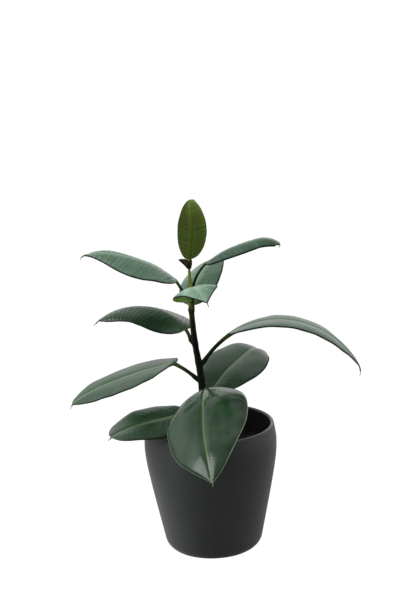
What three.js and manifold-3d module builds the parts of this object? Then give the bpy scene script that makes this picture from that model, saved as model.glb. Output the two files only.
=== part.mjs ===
import * as THREE from 'three';
import { mergeVertices } from 'three/addons/utils/BufferGeometryUtils.js';
import Module from 'manifold-3d';

// A young rubber plant, Ficus elastica, growing in a ceramic pot.
// Millimetres, +Z up. The origin is the centre of the pot's underside and the
// plant's front is towards -Y. Angles are in degrees: a heading is a direction
// in plan, 0 along +X and 90 along +Y, and a rise is a slope above the level.

const GAP = 0.3; // clearance kept between neighbouring solids

// ---- Pot and soil ----------------------------------------------------------

const POT_HEIGHT = 138;
const POT_WALL = 3.6;
const POT_FLOOR = 6;
const POT_SIDES = 48;
const FOOT_FLAT = 37.6; // radius of the flat underside
const FOOT_ROUND = 15; // radius between the underside and the wall
const FOOT_LEAN = 11.3; // how far the wall leans out just above the foot
const POT_BELLY = [[41, 58.3], [76, 65.3], [103, 69.7], [121, 70.4]]; // height, radius
const POT_MOUTH = 68.2; // outer radius at the lip
const BELLY_STEPS = 9;
const SOIL_EDGE = 113; // height of the soil against the wall
const SOIL_CROWN = 117; // height of the soil round the stem

// ---- Stem: height, offset along X, radius, from its foot in the soil --------

const STEM = [
  [84, 3, 4.4], [116, 1, 4.4], [145, -3, 4.2], [171, -6, 4.1], [190, -7.5, 3.8],
  [204, -9, 3.6], [214, -10.6, 3.4], [228, -12.6, 3.2], [244, -13.7, 3.1],
  [264, -14.8, 2.7], [288, -14.8, 2], [304, -15.2, 1.5], [311, -15.3, 1.1],
];
const STEM_SIDES = 14;

// ---- Sheath left by the youngest leaf: a pointed hood round the stem's top ---

const SHEATH = { foot: 307, height: 9.5, radius: 2.3, wall: 0.5, beak: 8.6, front: 4.2 };
const SHEATH_SIDES = 20;
const SHEATH_STEPS = 5;

// ---- Leaves, from the top of the stem down ------------------------------------
// node     height of the leaf's joint with the stem
// heading  direction of the petiole, and swerve: how far the leaf has turned from
//          it at the blade's base and at the tip
// rise     slope at the joint, the petiole's end and the shares RISE_SHARES of the
//          blade: just past its base, a third and two thirds along it, the neck of
//          its drip tip, and the tip
// petiole, length, width    of the petiole, and of the blade
// roll     tilt of the blade about its midrib, right half up, at base and tip
// fold     lift of both halves off the flat
// curl     bend of the left and of the right half, from midrib to margin
// taper    how sharply the blade narrows to its tip
// drip     share of the blade's length past its body, only drip tip

const LEAVES = [
  { name: 'leaf_top', node: 310, heading: 285, swerve: [15, -17],
    rise: [79, 75, 75, 76, 75, 111, 226], petiole: 7, length: 69, width: 31.5,
    roll: [0, 8], fold: 1, curl: [-25, -13], taper: 0.57, drip: 0.04 },
  { name: 'leaf_upper_right', node: 289, heading: 17, swerve: [-12, -38],
    rise: [73, 42, 40, 22, 15, -31, -146], petiole: 25, length: 92, width: 38,
    roll: [7, 0], fold: 6, curl: [-86, -80], taper: 0.5, drip: 0.03 },
  { name: 'leaf_upper_left', node: 275, heading: 183, swerve: [5, -10],
    rise: [64, 60, 50, 21, 12, -13, -74], petiole: 21, length: 112, width: 59,
    roll: [-10, 37], fold: -5, curl: [-37, -52], taper: 1.12, drip: 0.06 },
  { name: 'leaf_front_small', node: 264, heading: 296, swerve: [-27, 3],
    rise: [88, 91, 83, 21, -17, -27, -79], petiole: 7, length: 78, width: 52,
    roll: [-19, 7], fold: 3, curl: [-28, -38], taper: 1.05, drip: 0.06 },
  { name: 'leaf_upper_back', node: 263, heading: 87, swerve: [-12, -38],
    rise: [67, 65, 61, 32, 22, -8, -50], petiole: 3, length: 88, width: 45,
    roll: [-2, 6], fold: -1, curl: [-31, -24], taper: 0.68, drip: 0.04 },
  { name: 'leaf_middle_left', node: 228, heading: 139, swerve: [-16, 76],
    rise: [78, 34, 32, 17, -9, -30, -50], petiole: 13, length: 120, width: 61,
    roll: [15, -23], fold: -14, curl: [-35, -14], taper: 0.5, drip: 0.07 },
  { name: 'leaf_long_right', node: 206, heading: 1, swerve: [-8, -7],
    rise: [56, 35, 31, -1, -36, -57, -118], petiole: 40, length: 169, width: 52,
    roll: [2, -2], fold: 10, curl: [-30, -26], taper: 0.83, drip: 0.06 },
  { name: 'leaf_lower_left', node: 188, heading: 172, swerve: [-24, 21],
    rise: [44, 18, -15, -20, -22, -32, -80], petiole: 26.5, length: 135, width: 60,
    roll: [12, 12], fold: 4, curl: [-18, -17], taper: 0.66, drip: 0.04 },
  { name: 'leaf_lower_back', node: 159.5, heading: 59, swerve: [-16, 5],
    rise: [48, 49, 45, 19, 10, -39, -58], petiole: 13, length: 111, width: 69,
    roll: [-2, -15], fold: 11, curl: [-26, -33], taper: 0.78, drip: 0.05 },
  { name: 'leaf_front_large', node: 161.5, heading: 284, swerve: [-22, -2],
    rise: [75, 8, 4, -27, -20, -42, -48], petiole: 36, length: 150, width: 95,
    roll: [-16, -33], fold: 8, curl: [-37, -46], taper: 0.87, drip: 0.03 },
  { name: 'leaf_bottom_left', node: 146, heading: 205, swerve: [1, 5],
    rise: [56, -5, -5, -2, -7, -19, -50], petiole: 20, length: 94, width: 62,
    roll: [24, 2], fold: 7, curl: [-22, -27], taper: 0.5, drip: 0.05 },
];
const RISE_SHARES = [0, 0, 0.04, 0.33, 0.66, 0.92, 1];
const BLADE_THICKNESS = 1.2;
const DRIP_WIDTH = 0.08; // width of the drip tip at its root over that of the blade
const DRIP_ROOT = 0.15; // share of the length over which the drip tip narrows
const BASE_FULLNESS = 0.5; // how bluntly the blade widens from its base
const TIP_RADIUS = 0.4;
const PETIOLE_BASE = 0.2; // a petiole's radius is this, a share of its blade's length
const PETIOLE_GROWTH = 0.006; // and a share of the stem's radius at its joint
const PETIOLE_STOUTNESS = 0.25;
const PETIOLE_RINGS = 4;
const BLADE_RINGS = 13;
const HALF_PANELS = 4; // panels from midrib to margin
const WALK_STEPS = 6; // steps of the midrib between two rings

// ---- Helpers -----------------------------------------------------------------

const { sin, cos, PI, min, max, abs, sqrt } = Math;
const radians = THREE.MathUtils.degToRad;
const clamp01 = (value) => THREE.MathUtils.clamp(value, 0, 1);

// The value at x of the broken line through the points (knots, values).
function ramp(x, knots, values) {
  let i = 1;
  while (i < knots.length - 1 && x > knots[i]) i += 1;
  const share = clamp01((x - knots[i - 1]) / (knots[i] - knots[i - 1]));
  return values[i - 1] + share * (values[i] - values[i - 1]);
}

// A closed solid through rings of points, each running anticlockwise as seen from
// the ring after it. The two end rings are closed by fans about their middles.
function loft(rings) {
  const count = rings[0].length;
  const positions = rings.flat().flatMap((point) => point.toArray());
  const faces = [];
  for (let r = 0; r < rings.length - 1; r += 1) {
    for (let i = 0; i < count; i += 1) {
      const a = r * count + i;
      const b = r * count + (i + 1) % count;
      faces.push(a, b, b + count, a, b + count, a + count);
    }
  }
  [0, rings.length - 1].forEach((r, end) => {
    const middle = new THREE.Vector3();
    rings[r].forEach((point) => middle.addScaledVector(point, 1 / count));
    positions.push(...middle.toArray());
    for (let i = 0; i < count; i += 1) {
      const a = r * count + i;
      const b = r * count + (i + 1) % count;
      faces.push(rings.length * count + end, ...(end ? [a, b] : [b, a]));
    }
  });
  return solid(positions, faces);
}

function solid(positions, faces) {
  const geometry = new THREE.BufferGeometry();
  geometry.setAttribute('position', new THREE.Float32BufferAttribute(positions, 3));
  geometry.setIndex(faces);
  geometry.computeVertexNormals();
  return geometry;
}

// A turned solid about Z from [radius, height] points that start and end on the axis.
function turned(profile, sides) {
  const points = profile.map(([radius, height]) => new THREE.Vector2(radius, height));
  return new THREE.LatheGeometry(points, sides).rotateX(PI / 2);
}

const wasm = await Module();
wasm.setup();

// The first solid with the second cut out of it.
function cut(geometry, cutter) {
  const [body, tool] = [geometry, cutter].map((source) => {
    const bare = source.clone();
    bare.deleteAttribute('normal');
    bare.deleteAttribute('uv');
    const merged = mergeVertices(bare);
    return new wasm.Manifold(new wasm.Mesh({
      numProp: 3,
      vertProperties: merged.attributes.position.array,
      triVerts: Uint32Array.from(merged.index.array),
    }));
  });
  const mesh = body.subtract(tool).getMesh();
  return solid(mesh.vertProperties, Array.from(mesh.triVerts));
}

function named(name, geometry, color, roughness) {
  const material = new THREE.MeshStandardMaterial({ color, roughness, metalness: 0 });
  const mesh = new THREE.Mesh(geometry, material);
  mesh.name = name;
  return mesh;
}

// ---- Pot -----------------------------------------------------------------------

// The outer wall from the rounded foot to the mouth, as [radius, height].
function potOutline() {
  const arc = [0, 1 / 3, 2 / 3, 1].map((share) => {
    const turn = radians(-90 + share * (90 - FOOT_LEAN));
    return [FOOT_FLAT + FOOT_ROUND * cos(turn), FOOT_ROUND + FOOT_ROUND * sin(turn)];
  });
  const last = arc[arc.length - 1];
  const knots = [last, ...POT_BELLY.map(([z, r]) => [r, z]), [POT_MOUTH, POT_HEIGHT - POT_WALL / 2]];
  const belly = new THREE.SplineCurve(knots.map(([r, z]) => new THREE.Vector2(r, z)));
  return [...arc.slice(0, -1), ...belly.getSpacedPoints(BELLY_STEPS).map((p) => [p.x, p.y])];
}

// The inside of the wall, moved in by inset and starting at the height floor.
function insideOutline(inset, floor) {
  const inside = potOutline().map(([r, z]) => [r - POT_WALL - inset, z]);
  const heights = inside.map(([, z]) => z);
  const widths = inside.map(([r]) => r);
  const above = inside.filter(([, z]) => z > floor + FOOT_ROUND / 2);
  return [[ramp(floor, heights, widths) - POT_WALL, floor], ...above];
}

function potGeometry() {
  const lip = POT_WALL / 2;
  const outside = potOutline();
  const inside = insideOutline(0, POT_FLOOR).reverse();
  const rim = [45, 90, 135].map((turn) => [
    POT_MOUTH - lip + lip * cos(radians(turn)),
    POT_HEIGHT - lip + lip * sin(radians(turn)),
  ]);
  return turned([[0, 0], ...outside, ...rim, ...inside, [0, POT_FLOOR]], POT_SIDES);
}

// ---- Stem and soil ---------------------------------------------------------------

const stemHeights = STEM.map(([height]) => height);
const stemOffset = (height) => ramp(height, stemHeights, STEM.map(([, offset]) => offset));
const stemRadius = (height) => ramp(height, stemHeights, STEM.map(([, , radius]) => radius));

// The stem, or with a margin the socket that it stands in.
function stemGeometry(margin) {
  const rings = STEM.map(([height, offset, radius], index) => {
    const lift = index === 0 ? -margin : 0;
    return Array.from({ length: STEM_SIDES }, (_, i) => {
      const turn = (2 * PI * i) / STEM_SIDES;
      const reach = radius + margin;
      return new THREE.Vector3(offset + reach * cos(turn), reach * sin(turn), height + lift);
    });
  });
  return loft(rings);
}

// The soil fills the pot up to a low mound, with a socket for the stem.
function soilGeometry() {
  const wall = insideOutline(GAP, POT_FLOOR + GAP).filter(([, z]) => z < SOIL_EDGE - 3);
  const full = potOutline().map(([r, z]) => [z, r - POT_WALL - GAP]);
  const edge = ramp(SOIL_EDGE, full.map(([z]) => z), full.map(([, r]) => r));
  const mound = [1, 0.8, 0.5, 0.25].map((share) => [
    edge * share,
    SOIL_EDGE + (SOIL_CROWN - SOIL_EDGE) * (1 - share * share),
  ]);
  const profile = [[0, POT_FLOOR + GAP], ...wall, ...mound, [0, SOIL_CROWN]];
  return cut(turned(profile, POT_SIDES), stemGeometry(GAP));
}

// ---- Sheath ------------------------------------------------------------------------

// A tube round the top of the stem that opens upwards, drawn out to a beak on the
// left and widened at the front, where the youngest leaf comes out of it.
function sheathGeometry() {
  const { foot, height, radius, wall, beak, front } = SHEATH;
  const wallRing = (share, inset) => Array.from({ length: SHEATH_SIDES }, (_, i) => {
    const turn = (2 * PI * i) / SHEATH_SIDES;
    const left = max(0, -cos(turn)) ** 3;
    const near = max(0, -sin(turn)) ** 2;
    const reach = radius + share ** 1.2 * beak * left + min(1, 2 * share) * front * near - inset;
    const crest = height * (1 - 0.12 * sin(turn) ** 2);
    return new THREE.Vector3(
      stemOffset(foot) + reach * cos(turn),
      reach * sin(turn),
      foot + share * crest,
    );
  });
  const shares = Array.from({ length: SHEATH_STEPS + 1 }, (_, i) => i / SHEATH_STEPS);
  const outside = shares.map((share) => wallRing(share, 0));
  const inside = shares.map((share) => wallRing(share, wall)).reverse();
  return closedBand([...outside, ...inside]);
}

// A closed solid through rings whose last ring joins its first, such as a tube's wall.
function closedBand(rings) {
  const count = rings[0].length;
  const faces = [];
  rings.forEach((_, r) => {
    const next = (r + 1) % rings.length;
    for (let i = 0; i < count; i += 1) {
      const j = (i + 1) % count;
      faces.push(r * count + i, r * count + j, next * count + j);
      faces.push(r * count + i, next * count + j, next * count + i);
    }
  });
  return solid(rings.flat().flatMap((point) => point.toArray()), faces);
}

// ---- Leaves --------------------------------------------------------------------------

const petioleRadius = (leaf) => (
  PETIOLE_BASE + PETIOLE_GROWTH * leaf.length + PETIOLE_STOUTNESS * stemRadius(leaf.node)
);

// Half the blade's width at a share t of its length.
function halfWidth(leaf, t) {
  const full = BASE_FULLNESS / (BASE_FULLNESS + leaf.taper);
  const peak = full ** BASE_FULLNESS * (1 - full) ** leaf.taper;
  const along = min(1, t / (1 - leaf.drip));
  const body = (along ** BASE_FULLNESS * (1 - along) ** leaf.taper) / peak;
  const started = THREE.MathUtils.smoothstep(t, 0.5, 1 - DRIP_ROOT);
  const drip = DRIP_WIDTH * started * min(1, (1 - t) / DRIP_ROOT);
  return (leaf.width / 2) * Math.hypot(body, drip);
}

// The directions along the leaf, to its right and out of its upper face at the
// distance s from its joint, in the leaf's own frame with the petiole along +X.
function frameAt(leaf, s) {
  const { petiole, length } = leaf;
  const knots = RISE_SHARES.map((share, i) => (i ? petiole + share * length : 0));
  const rise = radians(ramp(s, knots, leaf.rise));
  const heading = radians(ramp(s, [0, petiole, petiole + length], [0, ...leaf.swerve]));
  const roll = radians(ramp(s, [petiole, petiole + length], leaf.roll));
  const along = new THREE.Vector3(cos(rise) * cos(heading), cos(rise) * sin(heading), sin(rise));
  const up = new THREE.Vector3(-sin(rise) * cos(heading), -sin(rise) * sin(heading), cos(rise));
  const right = new THREE.Vector3().crossVectors(along, up);
  right.applyAxisAngle(along, -roll);
  up.applyAxisAngle(along, -roll);
  return { along, right, up };
}

// A point of the blade's section: u runs from the left margin, -1, to the right, 1.
// Each half is an arc that starts at the fold and turns through the curl.
function sectionPoint(leaf, frame, reach, u, thickness) {
  const side = u < 0 ? -1 : 1;
  const fold = radians(leaf.fold);
  const curl = radians(leaf.curl[u < 0 ? 0 : 1]);
  const turn = fold + curl * abs(u);
  const across = (reach * (sin(turn) - sin(fold))) / curl - thickness * sin(turn);
  const height = (reach * (cos(fold) - cos(turn))) / curl + thickness * cos(turn);
  return frame.right.clone().multiplyScalar(side * across).addScaledVector(frame.up, height);
}

// One ring round the leaf: a circle on the petiole, a lens with a rib on the blade.
function leafRing(leaf, s, centre) {
  const frame = frameAt(leaf, s);
  const t = (s - leaf.petiole) / leaf.length;
  const stalk = petioleRadius(leaf);
  const reach = t > 0 ? max(halfWidth(leaf, t), t > 0.5 ? TIP_RADIUS : stalk) : stalk;
  const spread = clamp01(t / 0.04);
  const count = 4 * HALF_PANELS;
  return Array.from({ length: count }, (_, i) => {
    const turn = (2 * PI * i) / count;
    const upper = i <= count / 2;
    const step = upper ? 1 - (4 * i) / count : (4 * i) / count - 3;
    const u = Math.sign(step) * abs(step) ** 1.5;
    const rib = !upper && abs(step) < 0.01 ? stalk * (1.2 - t) : 0;
    const half = (BLADE_THICKNESS / 2) * sqrt(1 - u * u);
    const flat = sectionPoint(leaf, frame, reach, u, upper ? half : -half - rib);
    const round = frame.right.clone().multiplyScalar(stalk * cos(turn));
    round.addScaledVector(frame.up, stalk * sin(turn));
    return round.lerp(flat, spread).add(centre);
  });
}

// Walks along the midrib from the joint to the tip and lays a ring at each stop.
function leafGeometry(leaf) {
  const { petiole, length } = leaf;
  const stops = [];
  for (let i = 0; i < PETIOLE_RINGS; i += 1) stops.push((petiole * i) / PETIOLE_RINGS);
  for (let i = 0; i <= BLADE_RINGS; i += 1) {
    stops.push(petiole + (length * (1 - cos((PI * i) / BLADE_RINGS))) / 2);
  }
  const centre = new THREE.Vector3();
  const rings = stops.map((stop, index) => {
    const stride = index ? (stop - stops[index - 1]) / WALK_STEPS : 0;
    for (let i = 0; i < WALK_STEPS; i += 1) {
      const middle = stop - (WALK_STEPS - i - 0.5) * stride;
      centre.addScaledVector(frameAt(leaf, middle).along, stride);
    }
    return leafRing(leaf, stop, centre);
  });
  return loft(rings.map((ring) => ring.reverse()));
}

function leafMesh(leaf, color) {
  const mesh = named(leaf.name, leafGeometry(leaf), color, 0.4);
  const stalk = petioleRadius(leaf) * sin(radians(leaf.rise[0]));
  const standOff = stemRadius(leaf.node) + stalk + 2 * GAP;
  const heading = radians(leaf.heading);
  mesh.position.set(
    stemOffset(leaf.node) + standOff * cos(heading),
    standOff * sin(heading),
    leaf.node,
  );
  mesh.rotation.z = heading;
  return mesh;
}

// ---- The plant -------------------------------------------------------------------------

const plant = new THREE.Group();
plant.name = 'potted_rubber_plant';
plant.add(named('pot', potGeometry(), '#3a3d3c', 0.75));
plant.add(named('soil', soilGeometry(), '#241a14', 1));
plant.add(named('stem', stemGeometry(0), '#2b2a18', 0.7));
plant.add(named('stipule_sheath', sheathGeometry(), '#3f3216', 0.8));
const YOUNG_GREEN = '#4a5a22';
const LEAF_GREEN = '#3f5a44';
LEAVES.forEach((leaf, index) => plant.add(leafMesh(leaf, index ? LEAF_GREEN : YOUNG_GREEN)));

export default plant;
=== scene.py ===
"""A young rubber plant, Ficus elastica, in a charcoal ceramic pot.

The frame is +Z up with the plant's front towards -Y. Shapes are worked out in
millimetres, as in the plant's construction, and turned into metres when a piece
is finished. Angles are in degrees: a heading is a direction in plan, 0 along +X
and 90 along +Y, and a rise is a slope above the level. Colours are linear red,
green and blue.
"""

import math
import random
from collections import namedtuple

import bmesh
import bpy
from mathutils import Matrix, Vector, noise


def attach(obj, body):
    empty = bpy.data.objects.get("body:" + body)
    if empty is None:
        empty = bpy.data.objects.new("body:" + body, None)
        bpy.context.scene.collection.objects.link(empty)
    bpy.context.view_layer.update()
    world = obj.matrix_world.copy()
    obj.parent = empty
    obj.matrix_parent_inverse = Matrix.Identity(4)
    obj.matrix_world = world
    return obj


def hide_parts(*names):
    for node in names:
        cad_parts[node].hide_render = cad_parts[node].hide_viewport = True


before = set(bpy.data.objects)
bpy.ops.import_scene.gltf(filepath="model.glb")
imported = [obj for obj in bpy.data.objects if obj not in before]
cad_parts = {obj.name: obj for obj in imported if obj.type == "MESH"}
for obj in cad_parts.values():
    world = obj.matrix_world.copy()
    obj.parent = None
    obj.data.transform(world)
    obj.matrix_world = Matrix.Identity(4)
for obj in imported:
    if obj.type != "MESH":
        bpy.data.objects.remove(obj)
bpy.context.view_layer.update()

MM = 0.001
GAP = 0.3  # clearance kept between neighbouring pieces

# ---- Pot -----------------------------------------------------------------------

POT_HEIGHT = 138
POT_WALL = 3.6
POT_FLOOR = 6
POT_SIDES = 192
FOOT_FLAT = 37.6  # radius of the flat underside
FOOT_ROUND = 15
FOOT_LEAN = 11.3
FOOT_STEPS = 8
POT_BELLY = [(58.3, 41), (65.3, 76), (69.7, 103), (70.4, 121)]  # radius, height
BELLY_STEPS = 40
POT_MOUTH = 68.2
LIP_STEPS = 8
LIP_SHADE = (POT_HEIGHT - 1.6, POT_HEIGHT - 0.2)  # heights over which the glaze turns paler

# ---- Soil ----------------------------------------------------------------------

SOIL_EDGE = 113  # height at the wall
SOIL_CROWN = 117  # height round the stem
SOIL_FOOT = 14  # height above which the soil lies against the wall
SOIL_SINK = 0.6
SOIL_RINGS = 44
SOIL_SIDES = 120
MOUND_RADIUS = 66
SOIL_LUMPS = [(0.9, 9, 3), (0.45, 3, 7)]  # height, size, seed
CRUMBS = 900
CRUMB_SEED = 11
CRUMB_SIZES = (0.5, 1.7)  # least and greatest radius
CHIP_SHARE = 0.12  # of the crumbs, which are larger chips
CHIP_GROWTH = 1.5
CRUMB_MARGIN = 2.2  # kept clear along the wall

# ---- Stem ----------------------------------------------------------------------

STEM = [  # height, offset along X, radius
    (84, 3, 4.4), (116, 1, 4.4), (145, -3, 4.2), (171, -6, 4.1), (190, -7.5, 3.8),
    (204, -9, 3.6), (214, -10.6, 3.4), (228, -12.6, 3.2), (244, -13.7, 3.1),
    (264, -14.8, 2.7), (288, -14.8, 2), (304, -15.2, 1.5), (311, -15.3, 1.1),
]
STEM_STEP = 0.6
STEM_SIDES = 32
STEM_SMOOTHING = (-4, -2, 0, 2, 4)  # heights whose offsets are averaged
NODE_SWELLING = [(0.45, -1.5, 2.4), (0.22, 3.4, 0.45)]  # height, above the joint, length
OLIVE_FROM = (228, 258)  # heights over which the bark turns olive
FRESH_FROM = (262, 272)  # and over which that turns fresh green

# ---- Sheath of the youngest leaf -------------------------------------------------

SHEATH_FOOT = 307
SHEATH_HEIGHT = 9.5
SHEATH_RADIUS = 2.3
SHEATH_BEAK = 8.6
SHEATH_FRONT = 4.2
SHEATH_DIP = 0.12
SHEATH_TEAR = 0.1
SHEATH_THICKNESS = 0.3
SHEATH_ROWS = 16
SHEATH_SIDES = 64

# ---- Leaves, from the top of the stem down ----------------------------------------

# A leaf joins the stem at the height of its node. Its heading swerves by the first
# value at the petiole's end and by the second at the tip, and its roll has the same
# two places. The rise is given at the joint, at the petiole's end and at RISE_SHARES
# of the blade. The fold lifts both halves from the midrib, and the curl bends the
# left and the right half. The last values are how sharply the blade narrows, the
# share of its length that is only drip tip, how fresh its green is, how much its
# side veins and its midrib show and how rough its face is. The freshness is partly
# painted light: it also lightens or darkens each leaf for how brightly it is lit.

Leaf = namedtuple(
    "Leaf",
    "name node heading swerve rise petiole length width roll fold curl"
    " taper drip fresh ribs midrib rough",
)
LEAVES = [
    Leaf("leaf_top", 310, 285, (15, -17), (79, 75, 75, 76, 75, 111, 226),
         7, 69, 31.5, (0, 8), 1, (-25, -13), 0.57, 0.04, 1, 0.8, 0.9, 0.5),
    Leaf("leaf_upper_right", 289, 17, (-12, -38), (73, 42, 40, 22, 15, -31, -146),
         25, 92, 38, (7, 0), 6, (-86, -80), 0.5, 0.03, 0.55, 0.9, 0.5, 0.34),
    Leaf("leaf_upper_left", 275, 183, (5, -10), (64, 60, 50, 21, 12, -13, -74),
         21, 112, 59, (-10, 37), -5, (-37, -52), 1.12, 0.06, 1, 1.4, 0.95, 0.34),
    Leaf("leaf_front_small", 264, 296, (-27, 3), (88, 91, 83, 21, -17, -27, -79),
         7, 78, 52, (-19, 7), 3, (-28, -38), 1.05, 0.06, 2, 0.6, 0.2, 0.36),
    Leaf("leaf_upper_back", 263, 87, (-12, -38), (67, 65, 61, 32, 22, -8, -50),
         3, 88, 45, (-2, 6), -1, (-31, -24), 0.68, 0.04, 0.85, 0.7, 0.7, 0.38),
    Leaf("leaf_middle_left", 228, 139, (-16, 76), (78, 34, 32, 17, -9, -30, -50),
         13, 120, 61, (15, -23), -14, (-35, -14), 0.5, 0.07, 0.01, 1.4, 0, 0.28),
    Leaf("leaf_long_right", 206, 1, (-8, -7), (56, 35, 31, -1, -36, -57, -118),
         40, 169, 52, (2, -2), 10, (-30, -26), 0.83, 0.06, 0.6, 0.4, 0.6, 0.36),
    Leaf("leaf_lower_left", 188, 172, (-24, 21), (44, 18, -15, -20, -22, -32, -80),
         26.5, 135, 60, (12, 12), 4, (-18, -17), 0.66, 0.04, 0.2, 0.3, 0.85, 0.42),
    Leaf("leaf_lower_back", 159.5, 59, (-16, 5), (48, 49, 45, 19, 10, -39, -58),
         13, 111, 69, (-2, -15), 11, (-26, -33), 0.78, 0.05, 0.12, 0.35, 0.9, 0.36),
    Leaf("leaf_front_large", 161.5, 284, (-22, -2), (75, 8, 4, -27, -20, -42, -48),
         36, 150, 95, (-16, -33), 8, (-37, -46), 0.87, 0.03, 0, 0.3, 0.85, 0.2),
    Leaf("leaf_bottom_left", 146, 205, (1, 5), (56, -5, -5, -2, -7, -19, -50),
         20, 94, 62, (24, 2), 7, (-22, -27), 0.5, 0.05, 0.04, 0.6, 0.85, 0.3),
]
RISE_SHARES = (0, 0.04, 0.33, 0.66, 0.92, 1)

# ---- Blades --------------------------------------------------------------------

BLADE_THICKNESS = 0.6
BLADE_ROWS = 150
BLADE_COLUMNS = 48
MIDRIB_CROWDING = 1.35  # how much closer the columns stand beside the midrib
BASE_FULLNESS = 0.5
DRIP_WIDTH = 0.08  # width of the drip tip at its root over that of the blade
DRIP_ROOT = 0.15  # share of the length over which the drip tip narrows
DRIP_HALF_WIDTH = 0.3  # the least, up to the very tip
OUTLINE_WAVER = 0.02
BASE_SETTLING = 0.16  # share of the length over which the blade comes down to its rib
BASE_HEIGHT = 0.75  # the blade's height and half width at its base, in petiole radii
GROOVE = (0.55, 2.2)  # depth and half width
GROOVE_FLOOR = (0.3, 0.7)  # the midrib's height in the groove, and its half width
VEIN_GAP = 6.4
VEIN_HEIGHT = 0.09
VEIN_LEAN = 0.32  # how far a side vein runs forward for its distance from the midrib
VEIN_SWEEP = 0.009  # and for the square of that distance
VEIN_WANDER = 2.5
SWELL = 0.6  # height of the face's slow swells
SLACK = 1.1  # height of the waves along the margin
MARGIN_TURN = 0.6  # how far the margin turns down
MARGIN_WIDTH = 2.2

# ---- Petioles and ribs -----------------------------------------------------------

# A petiole's radius is a base, a share of its blade's length and a share of the
# stem's radius at its joint.

PETIOLE_BASE = 0.2
PETIOLE_GROWTH = 0.006
PETIOLE_STOUTNESS = 0.25
PETIOLE_SIDES = 16
JOINT_GAP = 0.6  # from the stem's skin to the petiole's first hoop
JOINT_DEPTH = 4  # how far below its joint the petiole's foot starts in the stem
JOINT_REACH = 0.8  # and how far from the middle of the stem
JOINT_HOOPS = 5
JOINT_GIRTH = 1.45  # of the foot over the petiole's own
STALK_HOOPS = 70
RIB_END = 0.97  # share of the blade's length
RIB_COVER = 0.45  # depth of the rib under the blade's face
RIB_TAPER = (0.85, 0.8, 0.22)  # slope, power and the least share before the power
MIDRIB_STEP = 0.5

# ---- Camera and studio light, in metres ------------------------------------------

CAMERA_PLACE = (0, -1.5, 0.6341)
CAMERA_TURNS = [(0.05, "Z"), (76.21, "X"), (-2.24, "Z")]
CAMERA_LENS = 87.03
CAMERA_SENSOR = 36
CAMERA_FAR = 200
FLOOR_RADIUS = 60
FLOOR_GREY = 0.2
PLAIN_WHITE = 1.05  # strength of what the camera sees round the plant
PANES = [  # heading, height and strength of soft panes of light round the plant
    (45, 12, 1.1), (90, 12, 1.2), (135, 12, 0.7), (0, 12, 1.15), (225, 12, 0.6),
    (315, 12, 0.3), (180, 12, 0.5), (270, 12, 0.12), (45, 50, 0.35), (90, 50, 0.42),
    (135, 50, 0.5), (0, 50, 0.2), (225, 50, 0.4), (270, 50, 0.15), (315, 50, 0.25),
    (0, 90, 0.2),
]
PANE_EDGE = math.cos(math.radians(38))  # a pane has faded out this far from its middle
PANE_CORE = math.cos(math.radians(8))  # and is at full strength up to here
SOFTBOX_PLACE = (-0.95, -0.1, 0.68)
SOFTBOX_TARGET = (0, 0, 0.2)
SOFTBOX_SIZE = (0.6, 1.0)
SOFTBOX_POWER = 8

# ---- Colours of the leaves ---------------------------------------------------------

# Each palette's margin is a near-black band along the edge of the face: partly the blade's own
# darker edge, partly painted shade where the margin turns down away from the light.
OLD_GREEN = dict(
    blade=(0.016, 0.055, 0.022), deep=(0.008, 0.036, 0.012), vein=(0.030, 0.085, 0.035),
    # rim: a pale line that is a painted highlight, where the edge catches the light; only
    # leaf_front_large keeps it.
    rib=(0.12, 0.20, 0.06), margin=(0.004, 0.014, 0.004), rim=(0.38, 0.44, 0.32),
)
FRESH_GREEN = dict(
    blade=(0.150, 0.262, 0.178), deep=(0.080, 0.170, 0.105), vein=(0.230, 0.360, 0.260),
    rib=(0.36, 0.50, 0.36), margin=(0.004, 0.012, 0.004), rim=(0.004, 0.012, 0.004),
)
YOUNG_GREEN = dict(
    blade=(0.124, 0.190, 0.015), deep=(0.085, 0.135, 0.010), vein=(0.210, 0.280, 0.045),
    rib=(0.22, 0.34, 0.02), margin=(0.020, 0.030, 0.004), rim=(0.020, 0.030, 0.004),
)
BACKS = {  # blade, vein, strength of the veins, seed
    "leaf_back": ((0.14, 0.26, 0.05), (0.20, 0.33, 0.08), 0.5, 2.0),
    # The second back is far paler than the first: painted light, a glow of light shining through
    # the blade, used on leaf_front_small alone.
    "glow_painted_back": ((0.40, 0.66, 0.14), (0.48, 0.75, 0.19), 0.5, 4.0),
    "young_back": ((0.115, 0.180, 0.012), (0.27, 0.37, 0.07), 0.9, 3.0),
}
STALKS = {  # at the stem, at the blade, along the blade
    "stalk_dark": ((0.008, 0.016, 0.003), (0.045, 0.090, 0.012), (0.14, 0.21, 0.06)),
    "stalk_young": ((0.10, 0.14, 0.012), (0.14, 0.20, 0.012), (0.13, 0.21, 0.010)),
}

# ==== Shape helpers ===============================================================


def ramp(x, knots, values):
    """The value at x of the broken line through the points (knots, values)."""
    i = 1
    while i < len(knots) - 1 and x > knots[i]:
        i += 1
    share = (x - knots[i - 1]) / (knots[i] - knots[i - 1])
    return values[i - 1] + min(1, max(0, share)) * (values[i] - values[i - 1])


def ease(x, start, end):
    """Rises smoothly from 0 at start to 1 at end."""
    share = min(1, max(0, (x - start) / (end - start)))
    return share * share * (3 - 2 * share)


def hump(x, width):
    """A smooth bump of height 1 round x = 0."""
    return math.exp(-((x / width) ** 2))


def wobble(a, b, c):
    """Smooth seeded unevenness from about -1 to 1."""
    return noise.noise(Vector((a, b, c)))


def polar(radius, turn):
    return radius * math.cos(turn), radius * math.sin(turn)


def level_way(heading):
    """The level direction of a heading."""
    return Vector((*polar(1, math.radians(heading)), 0))


def stem_offset(height):
    return ramp(height, [row[0] for row in STEM], [row[1] for row in STEM])


def stem_radius(height):
    return ramp(height, [row[0] for row in STEM], [row[2] for row in STEM])


def add_object(name, data):
    made = bpy.data.objects.new(name, data)
    bpy.context.scene.collection.objects.link(made)
    return made


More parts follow.
